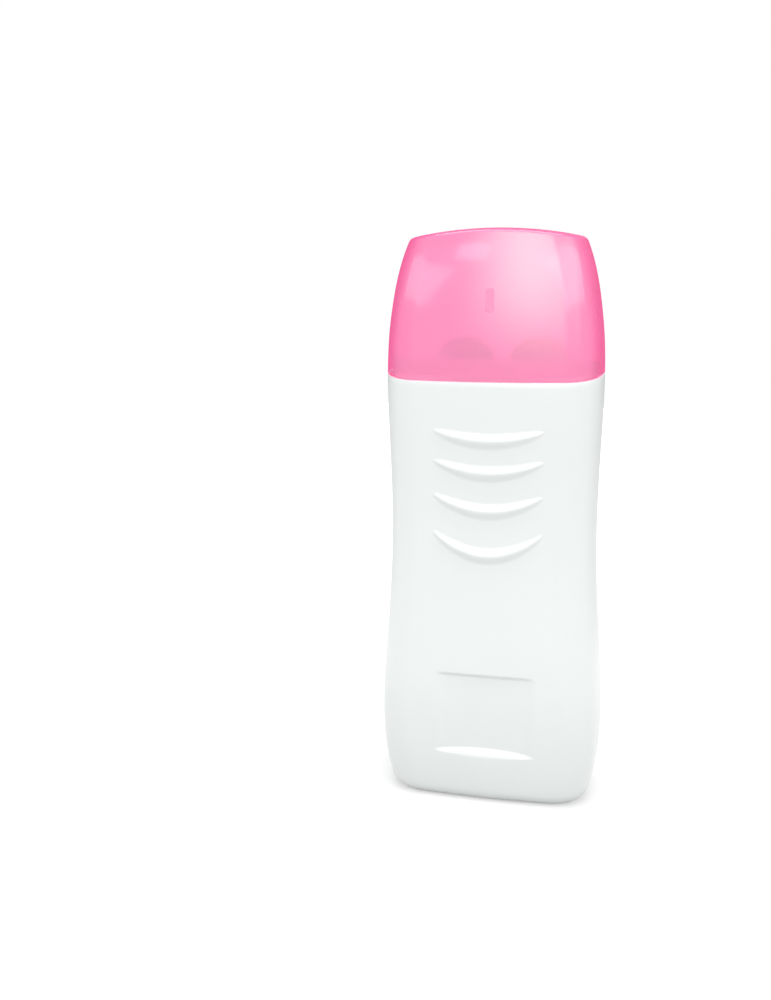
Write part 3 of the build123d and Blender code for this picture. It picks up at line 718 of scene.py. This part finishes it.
def cap_wall_rows(grow, lower, round_radius, drop):
    """Rows from the spine of the crown over its round edge and down the wall to a lower level.
    The round edge is a quarter circle leaned along the wall, and its top follows the crown."""
    level = np.full((1, 2 * len(cap_columns[0]) + 1), crown_height - drop)
    for _ in range(settling_rounds):
        level = crown_level(*cap_outline(level, np.array([[grow]]))) - drop
    turn = quarter_turn(8)[::-1].reshape(-1, 1)
    inwards = round_radius * (1 - np.cos(turn))
    edge = crown_level(*cap_outline(level, np.array([[grow - round_radius]]))) - drop
    curve_z = edge + (level - edge) * np.cos(turn) - round_radius * (1 - np.sin(turn))
    curve = rows_of(cap_outline, curve_z, grow - inwards)
    share = np.linspace(0, 1, cap_side_rows + 1)[1:].reshape(-1, 1)
    wall_z = curve_z[-1:] + (lower - curve_z[-1:]) * share
    lid = lid_rows(curve[0], crown_spine, 0.0, crown_rows, lambda x, y: crown_level(x, y) - drop)
    return np.concatenate([lid, curve, rows_of(cap_outline, wall_z, grow)])


skirt = seam_level(cap_outline(np.array([[skirt_trace]]), np.array([[0.0]]))[1]) + cap_gap
outer = cap_wall_rows(0.0, skirt + edge_round, crown_round, 0.0)
inner = cap_wall_rows(-cap_wall, skirt + edge_round, crown_round_inside, cap_wall)
lip_z = skirt + edge_round * (1 - np.sin(edge_turns[1:])).reshape(-1, 1)
lip_outer = rows_of(cap_outline, lip_z, -edge_in[1:])
lip_inner = rows_of(cap_outline, lip_z, edge_in[1:] - cap_wall)
folded = np.concatenate([outer, lip_outer, lip_inner[::-1], inner[::-1]])
ring = np.concatenate([folded * (1, -1, 1), folded[:, -2:0:-1]], 1)
cap_faces = grid_faces(*ring.shape[:2], wrap_rows=False, wrap_columns=True)
cap_skin = piece_from("cap_moulding", ring, cap_faces.tolist())
vent_turns = np.linspace(-math.pi / 2, math.pi / 2, 17)
vent_end = vent_size[0] / 2 * np.stack([np.cos(vent_turns), np.sin(vent_turns)], -1)
vent_shift = (vent_size[1] - vent_size[0]) / 2
upper_end = np.stack([-vent_end[:, 1], vent_end[:, 0] + vent_shift], -1)
vent_outline = np.concatenate([upper_end[::-1], -upper_end[::-1]]) + (0, vent_height)
cut(cap_skin, prism("vent_cutter", vent_outline, -beyond, -vent_inside, 1))
soften(cap_skin)


def ramp(wiring, value, low, high):
    """Smooth step of a signal, from 0 at low to 1 at high; low may be the larger one."""
    sockets = {"Value": value, "From Min": low, "From Max": high}
    return wiring.node("ShaderNodeMapRange", {"interpolation_type": "SMOOTHSTEP"}, sockets)


polystyrene = {"IOR": 1.59, "Specular IOR Level": 1.0}
milky_pink = (1.0, 0.43, 0.69, 1)
milky_pale = (1.0, 0.47, 0.73, 1)
slanted_pink = (1.0, 0.04, 0.30, 1)
tint_square_on = (1.0, 0.46, 0.67)    # what one wall lets through
tint_slanted = (1.0, 0.39, 0.63)
tint_deepens = (0.2, 0.5)             # from this slant to this one
swirl_scale = 22.0
milkiness = 0.33                      # share of the light that stays with the plastic itself
milkiness_swirl = 0.03
milkiness_lost = 0.8                  # share of it that is lost edge on
milkiness_inside = 0.04

cap_pink = Finish("cap_pink", {**polystyrene, "Coat Roughness": 0.06})
swirl = cap_pink.noise(swirl_scale, 3.0, (1, 1, 0.6))
haze = cap_pink.noise(160.0, 4.0)
# Slant is 0 where a wall is seen square on, and 1 edge on.
slant = cap_pink.node("ShaderNodeLayerWeight", None, {"Blend": 0.5}, output="Facing")
milky = cap_pink.blend(swirl, milky_pink, milky_pale)
cap_pink.surface({
    "Base Color": cap_pink.blend(slant ** 1.6, milky, slanted_pink),
    "Roughness": 0.1 + 0.06 * haze,
    "Coat Weight": 1 - 0.9 * slant ** 2,
})
cap_pink.grain(cap_pink.noise(1100.0, 2.0), 1e-6)
lamp_ray = cap_pink.node("ShaderNodeLightPath", output="Is Shadow Ray")
wall_depth = ramp(cap_pink, slant, *tint_deepens) * (1 - lamp_ray)
clear_wall = cap_pink.node("ShaderNodeMixShader", None, {
    0: wall_depth, 1: cap_pink.clear(tint_square_on), 2: cap_pink.clear(tint_slanted),
})
body = (milkiness + milkiness_swirl * swirl) * (1 - milkiness_lost * slant ** 3)
cap_pink.see_through(clear_wall, body * (1 - lamp_ray))

cap_inside = Finish("cap_inside", {**polystyrene, "Roughness": 0.12})
swirl_inside = cap_inside.noise(swirl_scale, 3.0)
cap_inside.surface({"Base Color": cap_inside.blend(swirl_inside, milky_pink, milky_pale)})
cap_inside.see_through(cap_inside.clear((1.0, 1.0, 1.0)), milkiness_inside)

# An inner face is one that looks towards a point in the middle of the cap's mouth.
faces = cap_skin.data.polygons
centres, normals = np.empty(3 * len(faces)), np.empty(3 * len(faces))
faces.foreach_get("center", centres)
faces.foreach_get("normal", normals)
from_mouth = centres.reshape(-1, 3) - (0, 0, seam_top * MM)
inwards = (from_mouth * normals.reshape(-1, 3)).sum(1) < 0
cap_skin.data.materials.append(cap_pink.material)
cap_skin.data.materials.append(cap_inside.material)
faces.foreach_set("material_index", inwards.astype(np.int32))
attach(cap_skin, "cap")
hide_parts("cap")


# ------------------------------------------------------------------ floor and light
# A white table in a white room, both white to the eye, while their light on the heater stays
# plain and the table keeps its shadow. Reflections see the room darker behind the heater, and a
# big soft source high in front, so that the glossy forms read.
floor_reach = 3.0         # metres, as all sizes from here on
shadow_glow = 0.37        # what is left of the table's own glow under the heater
shadow_reach = (0.08, 0.25)    # and from where to where the glow comes back
table_dimmed = 0.85       # how far the table behind the heater is dimmed in reflections
table_dims = (0.0, 0.3)        # and from where to where it dims
floor_corners = floor_reach * np.array([(-1, -1, 0), (1, -1, 0), (1, 1, 0), (-1, 1, 0)])
floor_mesh = bpy.data.meshes.new("table_top")
floor_mesh.from_pydata(floor_corners.tolist(), [], [(0, 1, 2, 3)])
table_top = bpy.data.objects.new("table_top", floor_mesh)
bpy.context.scene.collection.objects.link(table_top)


def seen(wiring):
    """1 for the rays of the eye, of reflections and through clear things, 0 for other light."""
    kinds = ("Is Camera Ray", "Is Glossy Ray", "Is Transmission Ray")
    rays = [wiring.node("ShaderNodeLightPath", output=kind) for kind in kinds]
    total = rays[0] + rays[1] + rays[2]
    return total.math("MINIMUM", total, 1.0)


table_white = Finish("table_white", {
    "Base Color": (0.6, 0.6, 0.6, 1), "Roughness": 1.0, "Specular IOR Level": 0.0,
    "Emission Strength": 1.0,
})
away = table_white.node(
    "ShaderNodeVectorMath", {"operation": "LENGTH"}, {0: table_white.place}, output="Value"
)
glow = shadow_glow + (1 - shadow_glow) * ramp(table_white, away, *shadow_reach)
back = table_white.node("ShaderNodeSeparateXYZ", None, {0: table_white.place}, output="Y")
dimmed = table_dimmed * ramp(table_white, back, *table_dims)
mirrored_table = table_white.node("ShaderNodeLightPath", output="Is Glossy Ray")
table_white.surface({"Emission Color": glow * seen(table_white) * (1 - dimmed * mirrored_table)})
dress(table_top, table_white)

room = bpy.data.worlds.new("room")
room.use_nodes = True
bpy.context.scene.world = room
sky = Wiring(room.node_tree)
way_out = sky.node("ShaderNodeTexCoord", output="Generated")
to_right, to_back, to_top = (
    sky.node("ShaderNodeSeparateXYZ", None, {0: way_out}, output=axis) for axis in "XYZ"
)
sky_light = 0.72
far_wall = 0.2            # what reflections see behind the heater
far_wall_right = 0.5      # and behind it to the right
turns_right = (0.0, 0.3)       # shares of a direction between which the one becomes the other
turns_back = (-0.2, 0.5)       # and the white front of the room becomes the back
band_glow = (8.6, 8.6, 6.4)    # a big warm soft source high in front, for reflections only
band_tail = 0.27          # what is left of it to the right of its bright part
bright_part = (0.25, 0.0)      # from where to where it comes up to its full glow
band_edges = (    # along which direction, and from where to where the band comes up
    (to_right, -0.25, 0.0), (to_right, 0.90, 0.72), (to_back, 0.2, -0.2), (to_top, -0.06, 0.58),
    (to_top, 0.86, 0.74),
)
band = band_tail + (1 - band_tail) * ramp(sky, to_right, *bright_part)
for direction, outside, within in band_edges:
    band = band * ramp(sky, direction, outside, within)
behind = far_wall + (far_wall_right - far_wall) * ramp(sky, to_right, *turns_right)
wall_glow = 1 - (1 - behind) * ramp(sky, to_back, *turns_back)
mirrored = sky.blend(band, wall_glow, (*band_glow, 1))
mirror_ray = sky.node("ShaderNodeLightPath", output="Is Glossy Ray")
plain_light = seen(sky) + sky_light * (1 - seen(sky))
sky.feed(
    sky.tree.nodes["Background"].inputs["Color"], sky.blend(mirror_ray, plain_light, mirrored)
)

softboxes = (    # name, azimuth and elevation in degrees, width and height in metres, radiance
    ("front_box", 46.0, 37.0, 1.10, 0.36, 2.1),
    ("left_box", -50.0, 33.0, 0.90, 0.24, 2.3),
    ("small_box", -14.0, 41.5, 0.10, 0.075, 3.0),
    ("top_box", 0.0, 88.0, 0.7, 0.5, 4.1),
    ("back_box", 180.0, 35.0, 0.6, 0.4, 1.3),
)
softbox_distance = 0.9
aim = Vector((0, 0, 0.12))    # a little above the middle of the heater
for name, azimuth, elevation, width, height, radiance in softboxes:
    turn, rise = math.radians(azimuth), math.radians(elevation)
    way = Vector((math.sin(turn) * math.cos(rise), -math.cos(turn) * math.cos(rise), math.sin(rise)))
    lamp = bpy.data.lights.new(name, "AREA")
    lamp.shape = "RECTANGLE"
    lamp.size, lamp.size_y = width, height
    lamp.energy = radiance * math.pi * width * height
    holder = bpy.data.objects.new(name, lamp)
    holder.location = aim + softbox_distance * way
    holder.rotation_euler = way.to_track_quat("Z", "Y").to_euler()
    bpy.context.scene.collection.objects.link(holder)

bpy.context.scene.view_settings.view_transform = "Standard"
